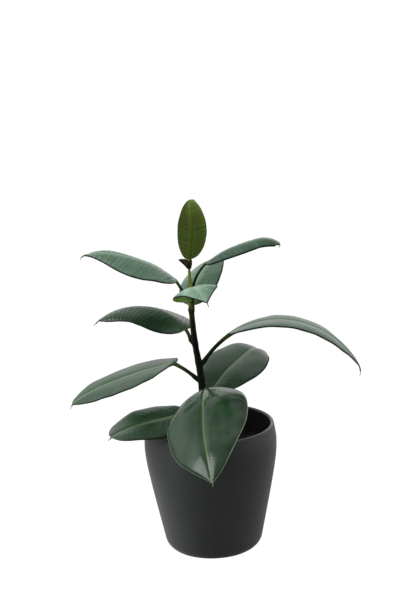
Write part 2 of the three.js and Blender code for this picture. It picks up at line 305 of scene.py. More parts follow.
def finish_piece(name, bm, materials, node):
    """Turns a bmesh in millimetres into a piece in metres that rides on the root body."""
    bmesh.ops.scale(bm, vec=(MM, MM, MM), verts=bm.verts)
    mesh = bpy.data.meshes.new(name)
    bm.to_mesh(mesh)
    bm.free()
    mesh.shade_smooth()
    piece = add_object(name, mesh)
    for material in materials:
        mesh.materials.append(material)
    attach(piece, "root")
    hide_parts(node)


def grow_ring(bm, edges):
    """Extrudes a ring of edges, and returns the new ring's vertices and edges."""
    grown = bmesh.ops.extrude_edge_only(bm, edges=edges)["geom"]
    ring = [item for item in grown if isinstance(item, bmesh.types.BMVert)]
    edges = [item for item in grown if isinstance(item, bmesh.types.BMEdge)]
    return ring, [edge for edge in edges if all(vert in ring for vert in edge.verts)]


def add_tube(bm, hoops, sides, layer=None, marks=()):
    """Sweeps a circle through hoops, each (centre, right, up, radius), and caps both ends.

    Where a vertex layer is given, marks holds its value for each hoop. Returns the
    tube's faces.
    """
    before = set(bm.faces)
    ring = bmesh.ops.create_circle(bm, cap_ends=True, segments=sides, radius=1)["verts"]
    edges = list({edge for vert in ring for edge in vert.link_edges})
    last = Matrix.Identity(4)
    for i, (centre, right, up, radius) in enumerate(hoops):
        if i:
            ring, edges = grow_ring(bm, edges)
        turn = Matrix((right, up, right.cross(up))).transposed().to_4x4()
        place = Matrix.Translation(centre) @ turn @ Matrix.Scale(radius, 4)
        bmesh.ops.transform(bm, matrix=place @ last.inverted(), verts=ring)
        last = place
        if layer:
            for vert in ring:
                vert[layer] = marks[i]
    bmesh.ops.contextual_create(bm, geom=edges)
    faces = [face for face in bm.faces if face not in before]
    bmesh.ops.recalc_face_normals(bm, faces=faces)
    return faces


# ==== Shader helpers ================================================================


class Tree:
    """Short ways to add and join nodes in one node tree."""

    def __init__(self, tree):
        self.tree = tree

    def node(self, kind, inputs=None, **settings):
        made = self.tree.nodes.new(kind)
        for name, value in settings.items():
            setattr(made, name, value)
        for name, value in (inputs or {}).items():
            self.feed(made.inputs[name], value)
        return made

    def feed(self, socket, value):
        """Links a socket to another's output, or sets its number, vector or colour."""
        if isinstance(value, bpy.types.NodeSocket):
            self.tree.links.new(value, socket)
        elif socket.type == "RGBA":
            socket.default_value = (*value, 1)
        else:
            socket.default_value = value

    def calc(self, operation, *values):
        made = self.node("ShaderNodeMath", operation=operation)
        for socket, value in zip(made.inputs, values):
            self.feed(socket, value)
        return made.outputs[0]

    def fit(self, value, low, high, to_low=0.0, to_high=1.0):
        """Eases from to_low to to_high as value goes from low to high."""
        inputs = {0: value, 1: low, 2: high, 3: to_low, 4: to_high}
        made = self.node("ShaderNodeMapRange", inputs, interpolation_type="SMOOTHSTEP")
        return made.outputs[0]

    def mix(self, share, first, second):
        inputs = {0: share, 6: first, 7: second}
        return self.node("ShaderNodeMix", inputs, data_type="RGBA").outputs[2]

    def tint(self, mask, share, first, second):
        """Share of the second colour over the first, where the mask is."""
        return self.mix(self.calc("MULTIPLY", mask, share), first, second)

    def grade(self, value, span, first, second):
        """From the first colour to the second as value crosses its span."""
        return self.mix(self.fit(value, *span), first, second)

    def vector(self, *values):
        return self.node("ShaderNodeCombineXYZ", dict(enumerate(values))).outputs[0]

    def attribute(self, name):
        return self.node("ShaderNodeAttribute", attribute_name=name).outputs["Fac"]

    def camera_ray(self):
        return self.node("ShaderNodeLightPath").outputs["Is Camera Ray"]

    def place(self):
        return self.node("ShaderNodeTexCoord").outputs["Object"]

    def height(self):
        return self.node("ShaderNodeSeparateXYZ", {0: self.place()}).outputs[2]

    def noise(self, scale, detail=3.0, roughness=0.5, place=None):
        inputs = {"Scale": scale, "Detail": detail, "Roughness": roughness}
        inputs["Vector"] = place or self.place()
        return self.node("ShaderNodeTexNoise", inputs).outputs["Fac"]

    def streaks(self, scales):
        """Streaks drawn out along the height, from their scales along X, Y and Z."""
        stretch = self.node("ShaderNodeMapping", {0: self.place(), 3: scales})
        return self.noise(1.0, 3.0, 0.6, stretch.outputs[0])

    def group(self, group, **inputs):
        made = self.tree.nodes.new("ShaderNodeGroup")
        made.node_tree = group
        for name, value in inputs.items():
            self.feed(made.inputs[name.replace("_", " ")], value)
        return made.outputs

    def bump(self, height, strength, distance):
        inputs = {"Height": height, "Strength": strength, "Distance": distance}
        return self.node("ShaderNodeBump", inputs).outputs[0]


def blend(first, second, share):
    """A colour, share of the way from the first to the second."""
    return tuple(a + share * (b - a) for a, b in zip(first, second))


def new_group(name, inputs, outputs):
    """A node group of plain numbers: its Tree, its inputs and its outputs' sockets."""
    group = bpy.data.node_groups.new(name, "ShaderNodeTree")
    kind = "NodeSocketFloat"
    for label, value in inputs.items():
        socket = group.interface.new_socket(name=label, in_out="INPUT", socket_type=kind)
        socket.default_value = value
    for label in outputs:
        group.interface.new_socket(name=label, in_out="OUTPUT", socket_type=kind)
    tree = Tree(group)
    return tree, tree.node("NodeGroupInput").outputs, tree.node("NodeGroupOutput").inputs


def new_material(name):
    """A material, its Tree and the inputs of its Principled shader."""
    material = bpy.data.materials.new(name)
    material.use_nodes = True
    shader = material.node_tree.nodes["Principled BSDF"]
    return material, Tree(material.node_tree), shader.inputs


# ==== Shared effects ==================================================================


def leaf_pattern_group():
    """Side veins, midrib and margin of a leaf from its own along and across distances."""
    inputs = {
        "Along": 0.0, "Across": 0.0, "Edge": 0.0, "Vein Gap": 0.0032, "Vein Lean": VEIN_LEAN,
        "Midrib Width": 0.0011, "Seed": 0.0,
    }
    outputs = ("Veins", "Midrib", "Halo", "Margin", "Rim", "Ribbing", "Mottle")
    tree, given, out = new_group("leaf_pattern", inputs, outputs)
    off = tree.calc("ABSOLUTE", given["Across"])
    # Side veins leave the midrib at a steep lean and sweep forward near the margin.
    sweep = tree.calc("MULTIPLY", tree.calc("MULTIPLY", off, off), VEIN_SWEEP / MM)
    lean = tree.calc("MULTIPLY", off, given["Vein Lean"])
    phase = tree.calc("SUBTRACT", given["Along"], tree.calc("ADD", lean, sweep))

    def drawn_out(along, across):
        """A place that runs with the veins, for noise of these scales."""
        return tree.vector(
            tree.calc("MULTIPLY", phase, along),
            tree.calc("MULTIPLY", given["Across"], across),
            given["Seed"],
        )

    drift = tree.noise(1.0, 2.0, 0.5, drawn_out(90.0, 14.0))
    streak = tree.noise(1.0, 3.0, 0.6, drawn_out(900.0, 22.0))
    cycle = tree.calc("DIVIDE", phase, given["Vein Gap"])
    cycle = tree.calc("ADD", cycle, tree.calc("MULTIPLY", drift, 2.4))
    wave = tree.calc("COSINE", tree.calc("MULTIPLY", cycle, 2 * math.pi))
    ribbing = tree.calc("MULTIPLY_ADD", wave, 0.5, 0.5)
    veins = tree.calc("POWER", ribbing, 6.0)
    veins = tree.calc("MULTIPLY", veins, tree.fit(drift, 0.35, 0.7, 0.25, 1.0))
    veins = tree.calc("MULTIPLY", veins, 0.7)
    tree.feed(out["Veins"], tree.calc("ADD", veins, tree.fit(streak, 0.5, 0.75, 0, 0.5)))
    tree.feed(out["Ribbing"], tree.calc("ADD", ribbing, tree.calc("MULTIPLY", streak, 0.8)))
    half = tree.calc("MULTIPLY", given["Midrib Width"], 0.5)
    halo = tree.calc("MULTIPLY", half, 12.0)
    tree.feed(out["Midrib"], tree.fit(off, half, given["Midrib Width"], 1.0, 0.0))
    tree.feed(out["Halo"], tree.fit(off, 0.0, halo, 1.0, 0.0))
    tree.feed(out["Margin"], tree.fit(given["Edge"], 0.0012, 0.0022, 1.0, 0.0))
    tree.feed(out["Rim"], tree.fit(given["Edge"], 0.0005, 0.0010, 1.0, 0.0))
    tree.feed(out["Mottle"], tree.noise(1.0, 4.0, 0.55, drawn_out(60.0, 40.0)))
    return tree.tree


def grain_group():
    """Fine surface grain and a broad, soft variation, for bump and for colour."""
    inputs = {"Fine Scale": 900.0, "Broad Scale": 30.0, "Pit Scale": 260.0}
    tree, given, out = new_group("surface_grain", inputs, ("Height", "Broad", "Pits"))
    fine = tree.noise(given["Fine Scale"], 4.0, 0.6)
    cells = tree.node("ShaderNodeTexVoronoi", {
        "Vector": tree.place(), "Scale": given["Pit Scale"], "Randomness": 1.0,
    }).outputs["Distance"]
    pits = tree.fit(cells, 0.08, 0.2, 1.0, 0.0)
    tree.feed(out["Pits"], pits)
    tree.feed(out["Broad"], tree.noise(given["Broad Scale"]))
    tree.feed(out["Height"], tree.calc("SUBTRACT", fine, tree.calc("MULTIPLY", pits, 0.6)))
    return tree.tree


# ==== Materials =========================================================================


def leaf_marks(tree, pattern, **inputs):
    """The leaf pattern on a blade's own distances, kept in its vertices."""
    return tree.group(
        pattern, Along=tree.attribute("along"), Across=tree.attribute("across"),
        Edge=tree.attribute("edge"), **inputs,
    )


def leaf_face(name, pattern, green, leaf, seed):
    """The upper face: paler side veins and midrib, and a margin and rim partly of painted shade
    and highlight.
    """
    material, tree, shader = new_material(name)
    marks = leaf_marks(tree, pattern, Seed=seed)
    colour = tree.grade(marks["Mottle"], (0.3, 0.72), green["deep"], green["blade"])
    colour = tree.tint(marks["Veins"], 0.6 * leaf.ribs, colour, green["vein"])
    colour = tree.tint(marks["Halo"], 0.3, colour, green["vein"])
    # The margin band: partly the blade's darker edge, partly painted shade; rougher there too.
    colour = tree.mix(marks["Margin"], colour, green["margin"])
    # The rim band: a painted highlight on leaf_front_large, painted shade on the other leaves.
    colour = tree.mix(marks["Rim"], colour, green["rim"])
    colour = tree.tint(marks["Midrib"], leaf.midrib, colour, green["rib"])
    tree.feed(shader["Base Color"], colour)
    spread = tree.fit(marks["Mottle"], 0.2, 0.8, leaf.rough - 0.04, leaf.rough + 0.05)
    dulled = tree.calc("MULTIPLY", marks["Margin"], 0.4)
    tree.feed(shader["Roughness"], tree.calc("ADD", spread, dulled))
    shader["Specular IOR Level"].default_value = 0.45
    tree.feed(shader["Normal"], tree.bump(marks["Ribbing"], 0.35 * leaf.ribs, 0.0003))
    return material


def leaf_back(name, pattern):
    """The underside: matt, with its side veins further apart."""
    blade, vein, ribs, seed = BACKS[name]
    material, tree, shader = new_material(name)
    marks = leaf_marks(tree, pattern, Seed=seed, Vein_Gap=0.0045)
    colour = tree.tint(marks["Veins"], ribs, blade, vein)
    tree.feed(shader["Base Color"], tree.tint(marks["Halo"], 0.35, colour, vein))
    shader["Roughness"].default_value = 0.55
    tree.feed(shader["Normal"], tree.bump(marks["Ribbing"], 0.4, 0.0003))
    return material


def stalk_material(name):
    """Petiole and rib beneath the blade: dark at the stem and paler along the blade."""
    near, far, tip = STALKS[name]
    material, tree, shader = new_material(name)
    along = tree.attribute("along")
    colour = tree.grade(along, (-0.018, 0.0), near, far)
    colour = tree.grade(along, (0.0, 0.03), colour, tip)
    grain = tree.noise(420.0)
    colour = tree.mix(tree.fit(grain, 0.4, 0.7, 0.0, 0.35), colour, near)
    tree.feed(shader["Base Color"], colour)
    shader["Roughness"].default_value = 0.5
    shader["Specular IOR Level"].default_value = 0.12
    tree.feed(shader["Normal"], tree.bump(grain, 0.3, 0.0003))
    return material


def rim_material(name, colour):
    """The thin gristly edge of a blade, dark partly as painted shade."""
    material, tree, shader = new_material(name)
    grain = tree.noise(300.0, 2.0)
    tree.feed(shader["Base Color"], tree.mix(grain, blend((0, 0, 0), colour, 0.4), colour))
    shader["Roughness"].default_value = 0.4
    tree.feed(shader["Normal"], tree.bump(grain, 0.2, 0.0002))
    return material


def stem_material(grain):
    """Brown-black bark below, through olive, to a fresh green streaked top."""
    material, tree, shader = new_material("stem_bark")
    marks = tree.group(grain, Fine_Scale=1400.0, Broad_Scale=90.0, Pit_Scale=420.0)
    height = tree.height()
    streaks = tree.streaks((260, 260, 34))
    bark = tree.grade(streaks, (0.35, 0.7), (0.004, 0.0045, 0.0018), (0.016, 0.016, 0.006))
    olive = tree.grade(streaks, (0.4, 0.65), (0.012, 0.012, 0.004), (0.045, 0.048, 0.012))
    fresh = tree.grade(streaks, (0.42, 0.6), (0.040, 0.048, 0.008), (0.30, 0.33, 0.06))
    colour = tree.grade(height, [z * MM for z in OLIVE_FROM], bark, olive)
    colour = tree.grade(height, [z * MM for z in FRESH_FROM], colour, fresh)
    colour = tree.tint(marks["Pits"], 0.4, colour, (0.07, 0.05, 0.032))
    tree.feed(shader["Base Color"], colour)
    tree.feed(shader["Roughness"], tree.fit(height, 0.24, 0.28, 0.66, 0.45))
    shader["Specular IOR Level"].default_value = 0.12
    rough = tree.calc("ADD", marks["Height"], tree.calc("MULTIPLY", streaks, 0.8))
    tree.feed(shader["Normal"], tree.bump(rough, 0.5, 0.0004))
    return material


def sheath_material():
    """Thin dry brown scale with darker lengthwise streaks and a paler torn edge."""
    material, tree, shader = new_material("sheath_paper")
    streaks = tree.streaks((900, 900, 120))
    colour = tree.grade(streaks, (0.35, 0.7), (0.010, 0.006, 0.003), (0.055, 0.034, 0.011))
    edge = tree.fit(tree.attribute("along"), 0.8, 1.0, 0.0, 0.6)
    tree.feed(shader["Base Color"], tree.mix(edge, colour, (0.075, 0.052, 0.018)))
    shader["Roughness"].default_value = 0.72
    shader["Specular IOR Level"].default_value = 0.2
    tree.feed(shader["Normal"], tree.bump(streaks, 0.6, 0.0003))
    return material


def pot_material(grain):
    """Charcoal matt glaze: faint cloudiness, fine grain, small pits and a paler lip."""
    material, tree, shader = new_material("pot_glaze")
    marks = tree.group(grain, Fine_Scale=1100.0, Broad_Scale=16.0, Pit_Scale=300.0)
    colour = tree.grade(marks["Broad"], (0.3, 0.7), (0.029, 0.035, 0.031), (0.039, 0.046, 0.041))
    colour = tree.tint(marks["Pits"], 0.3, colour, (0.016, 0.018, 0.017))
    lip = tree.fit(tree.height(), *(z * MM for z in LIP_SHADE))
    tree.feed(shader["Base Color"], tree.tint(lip, 0.6, colour, (0.06, 0.063, 0.062)))
    tree.feed(shader["Roughness"], tree.fit(marks["Broad"], 0.3, 0.7, 0.45, 0.55))
    shader["Sheen Weight"].default_value = 0.38
    shader["Sheen Roughness"].default_value = 0.5
    tree.feed(shader["Normal"], tree.bump(marks["Height"], 0.25, 0.00025))
    return material


def bare_material(grain):
    """The pot's unglazed inside, near black: painted shade of the hollow inside the pot."""
    material, tree, shader = new_material("pot_inside")
    marks = tree.group(grain, Fine_Scale=900.0, Broad_Scale=20.0, Pit_Scale=300.0)
    colour = tree.mix(marks["Broad"], (0.008, 0.008, 0.008), (0.014, 0.014, 0.013))
    tree.feed(shader["Base Color"], colour)
    shader["Roughness"].default_value = 0.8
    shader["Specular IOR Level"].default_value = 0.2
    tree.feed(shader["Normal"], tree.bump(marks["Height"], 0.3, 0.0003))
    return material


def soil_material(grain):
    """Moist peat with reddish bark crumbs; each crumb has its own tone."""
    material, tree, shader = new_material("peat")
    marks = tree.group(grain, Fine_Scale=1600.0, Broad_Scale=120.0, Pit_Scale=500.0)
    colour = tree.mix(marks["Broad"], (0.0035, 0.0022, 0.0015), (0.012, 0.0065, 0.004))
    colour = tree.grade(tree.attribute("tone"), (0.3, 1.0), colour, (0.045, 0.018, 0.009))
    tree.feed(shader["Base Color"], colour)
    shader["Roughness"].default_value = 0.95
    tree.feed(shader["Normal"], tree.bump(marks["Height"], 0.8, 0.0006))
    return material


# ==== Pot =================================================================================


def catmull(points, share):
    """A point of the smooth curve through points, with share from 0 to 1."""
    reach = share * (len(points) - 1)
    i = min(int(reach), len(points) - 2)
    t = reach - i
    before, start, end = points[max(i - 1, 0)], points[i], points[i + 1]
    after = points[min(i + 2, len(points) - 1)]
    place = []
    for p0, p1, p2, p3 in zip(before, start, end, after):
        v0, v1 = (p2 - p0) / 2, (p3 - p1) / 2
        cubic = (2 * p1 - 2 * p2 + v0 + v1) * t ** 3
        place.append(cubic + (3 * p2 - 3 * p1 - 2 * v0 - v1) * t ** 2 + v0 * t + p1)
    return tuple(place)


def pot_outline():
    """The outer wall from the rounded foot to the mouth, as (radius, height)."""
    arc = []
    for i in range(FOOT_STEPS + 1):
        turn = math.radians(-90 + (90 - FOOT_LEAN) * i / FOOT_STEPS)
        across, up = polar(FOOT_ROUND, turn)
        arc.append((FOOT_FLAT + across, FOOT_ROUND + up))
    knots = [arc[-1], *POT_BELLY, (POT_MOUTH, POT_HEIGHT - POT_WALL / 2)]
    return arc[:-1] + [catmull(knots, i / BELLY_STEPS) for i in range(BELLY_STEPS + 1)]


def pot_profile():
    """The whole wall: underside, outside, round lip, inside and floor."""
    outside = pot_outline()
    lip = POT_WALL / 2
    rim = []
    for i in range(1, LIP_STEPS):
        across, up = polar(lip, math.radians(180 * i / LIP_STEPS))
        rim.append((POT_MOUTH - lip + across, POT_HEIGHT - lip + up))
    inside = [(r - POT_WALL, z) for r, z in reversed(outside) if z > POT_FLOOR + FOOT_ROUND / 2]
    bend = inside[-1][0]
    floor = [(bend - 1.2, POT_FLOOR + 3), (bend - 5, POT_FLOOR + 0.6), (bend - 9, POT_FLOOR)]
    return [(0, 0), (FOOT_FLAT - 3, 0), *outside, *rim, *inside, *floor, (0, POT_FLOOR)]


def spin_profile(profile, sides):
    """A profile of (radius, height), turned once round the Z axis."""
    bm = bmesh.new()
    verts = [bm.verts.new((radius, 0, height)) for radius, height in profile]
    edges = [bm.edges.new(pair) for pair in zip(verts, verts[1:])]
    bmesh.ops.spin(
        bm, geom=verts + edges, cent=(0, 0, 0), axis=(0, 0, 1), dvec=(0, 0, 0),
        angle=2 * math.pi, steps=sides, use_merge=True, use_duplicate=False,
    )
    bmesh.ops.remove_doubles(bm, verts=bm.verts, dist=0.001)
    bmesh.ops.recalc_face_normals(bm, faces=bm.faces)
    return bm


def make_pot(glaze, bare):
    """The pot, glazed outside and bare inside."""
    bm = spin_profile(pot_profile(), POT_SIDES)
    for face in bm.faces:
        middle = face.calc_center_median()
        if face.normal.x * middle.x + face.normal.y * middle.y < 0 or face.normal.z > 0.5:
            face.material_index = int(middle.z < POT_HEIGHT - POT_WALL / 2)
    finish_piece("ceramic_pot", bm, [glaze, bare], "pot")


# ==== Soil ================================================================================


def soil_height(x, y):
    """The height of the soil's lumpy mound."""
    share = min(1, math.hypot(x, y) / MOUND_RADIUS)
    mound = SOIL_EDGE + (SOIL_CROWN - SOIL_EDGE) * (1 - share ** 2)
    lumps = sum(high * wobble(x / size, y / size, seed) for high, size, seed in SOIL_LUMPS)
    return mound + lumps - SOIL_SINK


def make_soil(material):
    """The soil's body with a lumpy top, and crumbs and bark chips lying on it."""
    outline = pot_outline()
    edge = ramp(SOIL_EDGE, [z for _, z in outline], [r for r, _ in outline])
    edge -= POT_WALL + GAP
    wall = [(r - POT_WALL - GAP, z) for r, z in outline if SOIL_FOOT < z < SOIL_EDGE - 3]
    rings = [(edge * (1 - i / SOIL_RINGS), SOIL_EDGE) for i in range(SOIL_RINGS)]
    foot = POT_FLOOR + GAP
    profile = [(0, foot), (wall[0][0] - 3, foot), *wall, *rings, (0, SOIL_EDGE)]
    bm = spin_profile(profile, SOIL_SIDES)
    tone = bm.verts.layers.float.new("tone")
    for vert in bm.verts:
        if vert.co.z > SOIL_EDGE - 0.1:
            vert.co.z = soil_height(vert.co.x, vert.co.y)
    add_crumbs(bm, tone, edge)
    finish_piece("potting_soil", bm, [material], "soil")


def add_crumbs(bm, tone, edge):
    """Crumbs scattered over the soil, each uneven and with a tone of its own."""
    dice = random.Random(CRUMB_SEED)
    for _ in range(CRUMBS):
        reach = (edge - CRUMB_MARGIN) * math.sqrt(dice.random())
        x, y = polar(reach, dice.uniform(0, 2 * math.pi))
        size = dice.uniform(*CRUMB_SIZES) * (CHIP_GROWTH if dice.random() < CHIP_SHARE else 1)
        stretch = (dice.uniform(0.7, 1.7), dice.uniform(0.6, 1.1), dice.uniform(0.4, 0.9))
        turn = Matrix.Rotation(dice.uniform(0, math.pi), 4, "Z")
        tilt = Matrix.Rotation(dice.uniform(-0.6, 0.6), 4, "X")
        place = Matrix.Translation((x, y, soil_height(x, y) + 0.25 * size))
        shape = place @ turn @ tilt @ Matrix.Diagonal((*stretch, 1))
        crumb = bmesh.ops.create_icosphere(bm, subdivisions=1, radius=size, matrix=shape)["verts"]
        shade = dice.random() ** 2.5
        for vert in crumb:
            vert.co += Vector([dice.uniform(-0.18, 0.18) * size for _ in range(3)])
            vert[tone] = shade


# ==== Stem ================================================================================


def stem_girth(height):
    """Radius of the stem with its swollen nodes and the narrow scar above each."""
    girth = stem_radius(height)
    for leaf in LEAVES[1:]:
        for swelling, above, length in NODE_SWELLING:
            girth += swelling * hump(height - leaf.node - above, length)
    return girth + 0.08 * wobble(height / 4, 0, 5)


def make_stem(material):
    """The leaning stem, round in plan at every height and slightly uneven."""
    foot, top = STEM[0][0], STEM[-1][0]
    across, back = Vector((1, 0, 0)), Vector((0, 1, 0))
    hoops = []
    for i in range(int((top - foot) / STEM_STEP) + 1):
        height = foot + STEM_STEP * i
        near = [stem_offset(height + step) for step in STEM_SMOOTHING]
        centre = Vector((sum(near) / len(near), 0, height))
        hoops.append((centre, across, back, stem_girth(height)))
    bm = bmesh.new()
    add_tube(bm, hoops, STEM_SIDES)
    for vert in bm.verts:
        out = vert.co - Vector((stem_offset(vert.co.z), 0, vert.co.z))
        vert.co += out * 0.05 * wobble(vert.co.x / 1.5, vert.co.y / 1.5, vert.co.z / 6)
    finish_piece("woody_stem", bm, [material], "stem")


# ==== Sheath ==============================================================================


def sheath_point(turn, share):
    """A point of the hood, share of the way up, with the beak on its left."""
    left = max(0, -math.cos(turn)) ** 3
    near = max(0, -math.sin(turn)) ** 2
    reach = SHEATH_RADIUS + share ** 1.2 * SHEATH_BEAK * left
    reach += min(1, 2 * share) * SHEATH_FRONT * near
    reach += 0.3 * share * wobble(3 * turn, 4 * share, 2)
    tear = 1 + SHEATH_TEAR * wobble(4 * turn, 0, 9) * share
    crest = SHEATH_HEIGHT * (1 - SHEATH_DIP * math.sin(turn) ** 2) * tear
    across, back = polar(reach, turn)
    return stem_offset(SHEATH_FOOT) + across, back, SHEATH_FOOT + share * crest


def make_sheath(material):
    """A thin pointed hood, drawn out to a beak on the left and torn along its mouth."""
    bm = bmesh.new()
    along = bm.verts.layers.float.new("along")
    ring = bmesh.ops.create_circle(bm, cap_ends=False, segments=SHEATH_SIDES, radius=1)["verts"]
    edges = list(bm.edges)
    middle = 0
    for row in range(SHEATH_ROWS + 1):
        if row:
            ring, edges = grow_ring(bm, edges)
            middle = stem_offset(SHEATH_FOOT)
        share = row / SHEATH_ROWS
        for vert in ring:
            turn = math.atan2(vert.co.y, vert.co.x - middle)
            vert.co = sheath_point(turn, share)
            vert[along] = share
    bmesh.ops.recalc_face_normals(bm, faces=bm.faces)
    bmesh.ops.solidify(bm, geom=list(bm.faces), thickness=SHEATH_THICKNESS)
    finish_piece("stipule_hood", bm, [material], "stipule_sheath")


# ==== Leaves ==============================================================================


def petiole_radius(leaf):
    return PETIOLE_BASE + PETIOLE_GROWTH * leaf.length + PETIOLE_STOUTNESS * stem_radius(leaf.node)


def half_width(leaf, t):
    """Half the blade's width at a share t of its length."""
    full = BASE_FULLNESS / (BASE_FULLNESS + leaf.taper)
    peak = full ** BASE_FULLNESS * (1 - full) ** leaf.taper
    along = min(1, t / (1 - leaf.drip))
    body = along ** BASE_FULLNESS * (1 - along) ** leaf.taper / peak
    drip = DRIP_WIDTH * ease(t, 0.5, 1 - DRIP_ROOT) * min(1, (1 - t) / DRIP_ROOT)
    return leaf.width / 2 * math.hypot(body, drip)


def leaf_axes(leaf, s):
    """Directions along the leaf, to its right and out of its face at distance s."""
    knots = [0] + [leaf.petiole + share * leaf.length for share in RISE_SHARES]
    ends = [leaf.petiole, leaf.petiole + leaf.length]
    rise = math.radians(ramp(s, knots, leaf.rise))
    level = level_way(leaf.heading + ramp(s, [0, *ends], [0, *leaf.swerve]))
    along = level * math.cos(rise) + Vector((0, 0, math.sin(rise)))
    up = Vector((0, 0, math.cos(rise))) - level * math.sin(rise)
    turn = Matrix.Rotation(-math.radians(ramp(s, ends, leaf.roll)), 3, along)
    return along, turn @ along.cross(up), turn @ up


class Midrib:
    """The leaf's centre line, walked in small steps from its joint to its tip."""

    def __init__(self, leaf):
        stalk = petiole_radius(leaf) * math.sin(math.radians(leaf.rise[0]))
        off = stem_radius(leaf.node) + stalk + JOINT_GAP
        joint = Vector((stem_offset(leaf.node), 0, leaf.node))
        self.points = [joint + off * level_way(leaf.heading)]
        self.reach = leaf.petiole + leaf.length
        for i in range(math.ceil(self.reach / MIDRIB_STEP)):
            along = leaf_axes(leaf, (i + 0.5) * MIDRIB_STEP)[0]
            self.points.append(self.points[-1] + along * MIDRIB_STEP)

    def at(self, s):
        place = min(max(s, 0), self.reach) / MIDRIB_STEP
        i = min(int(place), len(self.points) - 2)
        return self.points[i].lerp(self.points[i + 1], place - i)


def relief(leaf, seed, t, u, reach):
    """Fine height of the upper face: midrib groove, side veins and a slack margin."""
    off = reach * abs(u)
    across = math.copysign(off, u)
    along = t * leaf.length
    grown = ease(t, 0.02, 0.1) * (1 - ease(t, 0.9, 0.99))
    depth, spread = GROOVE
    rise, ridge = GROOVE_FLOOR
    groove = rise * hump(off, ridge) - depth * hump(off, spread)
    beat = along - VEIN_LEAN * off - VEIN_SWEEP * off * off
    beat += VEIN_WANDER * wobble(along / 14, across / 30, seed)
    veins = VEIN_HEIGHT * leaf.ribs * math.cos(2 * math.pi * beat / VEIN_GAP)
    veins *= ease(off, 1, 5) * (1 - ease(abs(u), 0.8, 1))
    swell = SWELL * wobble(along / 34, across / 16, seed + 4) * ease(off, 1, 9)
    slack = SLACK * abs(u) ** 3 * wobble(along / 19, 3 if u > 0 else 8, seed)
    turned = MARGIN_TURN * ease(reach - off, MARGIN_WIDTH, 0)
    return grown * (groove + veins + swell + slack - turned)


def blade_point(leaf, rib, seed, t, u):
    """A point of the upper face, its signed distance from the midrib and the reach there."""
    s = leaf.petiole + t * leaf.length
    _, right, up = leaf_axes(leaf, s)
    side = -1 if u < 0 else 1
    base = BASE_HEIGHT * petiole_radius(leaf)
    outline = 1 + OUTLINE_WAVER * wobble(t * 7, side * 4, seed + 2)
    reach = max(half_width(leaf, t) * outline, DRIP_HALF_WIDTH if t > 0.5 else base)
    fold = math.radians(leaf.fold)
    curl = math.radians(leaf.curl[0 if u < 0 else 1])
    turn = fold + curl * abs(u)
    lift = relief(leaf, seed, t, u, reach) + base * (1 - ease(t, 0, BASE_SETTLING))
    across = reach * (math.sin(turn) - math.sin(fold)) / curl - lift * math.sin(turn)
    height = reach * (math.cos(fold) - math.cos(turn)) / curl + lift * math.cos(turn)
    return rib.at(s) + right * side * across + up * height, reach * abs(u) * side, reach


def add_blade(bm, leaf, rib, seed, layers):
    """The blade, with its underside in the second material and its rim in the fourth."""
    along, across, edge = layers
    grid = bmesh.ops.create_grid(bm, x_segments=BLADE_COLUMNS, y_segments=BLADE_ROWS, size=0.5)
    for vert in grid["verts"]:
        spread = 2 * vert.co.x
        u = math.copysign(abs(spread) ** MIDRIB_CROWDING, spread)
        row = vert.co.y + 0.5
        t = 0.5 * row + 0.25 * (1 - math.cos(math.pi * row))
        vert.co, off, reach = blade_point(leaf, rib, seed, t, u)
        vert[along] = t * leaf.length * MM
        vert[across] = off * MM
        vert[edge] = (reach - abs(off)) * MM
    # Extruding turns the first faces round, so they face down before it.
    upper = list(bm.faces)
    bm.normal_update()
    facing = leaf_axes(leaf, leaf.petiole + leaf.length / 2)[2]
    if sum(face.normal.dot(facing) for face in upper) > 0:
        bmesh.ops.reverse_faces(bm, faces=upper)
        bm.normal_update()
    grown = bmesh.ops.extrude_face_region(bm, geom=upper)["geom"]
    for item in grown:
        if isinstance(item, bmesh.types.BMVert):
            item.co += item.normal * BLADE_THICKNESS
        elif isinstance(item, bmesh.types.BMFace):
            item.material_index = 1
    for face in set(bm.faces).difference(upper, grown):
        face.material_index = 3


def stalk_hoops(leaf, rib):
    """Hoops of the petiole from inside the stem, and of the rib beneath the blade."""
    stalk = petiole_radius(leaf)
    _, right, up = leaf_axes(leaf, 0)
    low = leaf.node - JOINT_DEPTH
    inner = Vector((stem_offset(low), 0, low)) + level_way(leaf.heading) * JOINT_REACH
    foot = rib.at(0)
    hoops, marks = [], []
    for i in range(JOINT_HOOPS):
        share = i / JOINT_HOOPS
        hoops.append((inner.lerp(foot, share), right, up, stalk * (JOINT_GIRTH - 0.15 * share)))
        marks.append(-leaf.petiole * MM)
    slope, power, least = RIB_TAPER
    for i in range(STALK_HOOPS + 1):
        s = (leaf.petiole + RIB_END * leaf.length) * i / STALK_HOOPS
        t = (s - leaf.petiole) / leaf.length
        _, right, up = leaf_axes(leaf, s)
        swollen = 1 + 0.3 * hump(s, 5) + 0.12 * hump(s - leaf.petiole, 5)
        radius = stalk * swollen * max(least, 1 - slope * max(0, t)) ** power
        sunk = ease(t, 0, 0.1) * (radius + RIB_COVER)
        hoops.append((rib.at(s) - up * sunk, right, up, radius))
        marks.append(t * leaf.length * MM)
    return hoops, marks


def make_leaf(leaf, seed, materials):
    """One leaf: face, back and rim of its blade, and the petiole with the rib."""
    bm = bmesh.new()
    layers = [bm.verts.layers.float.new(name) for name in ("along", "across", "edge")]
    rib = Midrib(leaf)
    add_blade(bm, leaf, rib, seed, layers)
    hoops, marks = stalk_hoops(leaf, rib)
    for face in add_tube(bm, hoops, PETIOLE_SIDES, layers[0], marks):
        face.material_index = 2
    finish_piece(leaf.name.replace("leaf_", "blade_"), bm, materials, leaf.name)


